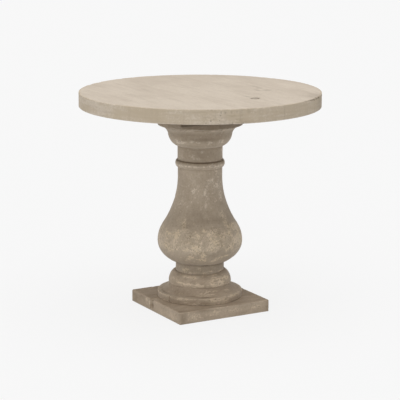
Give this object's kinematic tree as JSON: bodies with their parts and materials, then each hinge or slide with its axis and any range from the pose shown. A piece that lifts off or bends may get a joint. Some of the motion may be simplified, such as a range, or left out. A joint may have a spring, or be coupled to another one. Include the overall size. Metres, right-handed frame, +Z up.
{
  "type": "side table",
  "caption": "Round pedestal side table in pale limed wood: thick plank top on a square block, turned baluster column with disc, bowl, bead and bulb, stepped foot disc and square plinth.",
  "frame": {"origin": "middle of the plinth's underside, on the floor", "axes": "+Z up along the pedestal; X and Y along the plinth's sides, with the boards of the top running along Y"},
  "size_m": [0.66, 0.66, 0.6058],
  "materials": {
    "top_wood": "pale limed wood, matt, with fine grain and a few knots",
    "turned_wood": "greyed limed wood, matt, pale where worn on the swells",
    "plinth_wood": "greyed limed wood, matt, pale worn edges",
    "plain_wood": "bare wood, unseen",
    "steel": "plain zinc-coated steel"
  },
  "bodies": {
    "root": {"top_board_1": "top_wood", "top_board_2": "top_wood", "top_board_3": "top_wood", "top_board_4": "top_wood", "top_board_5": "top_wood", "top_spline_1": "plain_wood", "top_spline_2": "plain_wood", "top_spline_3": "plain_wood", "top_spline_4": "plain_wood", "block_board_1": "plinth_wood", "block_board_2": "plinth_wood", "block_dowel_1": "plain_wood", "block_dowel_2": "plain_wood", "top_screw_1": "steel", "top_screw_2": "steel", "top_screw_3": "steel", "top_screw_4": "steel", "top_screw_5": "steel", "top_screw_6": "steel", "top_screw_7": "steel", "top_screw_8": "steel", "capital_disc_1": "turned_wood", "capital_disc_2": "turned_wood", "capital_dowel_1": "plain_wood", "capital_dowel_2": "plain_wood", "capital_bowl": "turned_wood", "column": "turned_wood", "base_ring": "turned_wood", "foot_disc_1": "turned_wood", "foot_disc_2": "turned_wood", "foot_dowel_1": "plain_wood", "foot_dowel_2": "plain_wood", "plinth_board_1": "plinth_wood", "plinth_board_2": "plinth_wood", "plinth_dowel_1": "plain_wood", "plinth_dowel_2": "plain_wood", "tie_rod": "steel", "rod_nut_top": "steel", "rod_nut_bottom": "steel", "rod_washer_top": "steel", "rod_washer_bottom": "steel"}
  },
  "joints": []
}
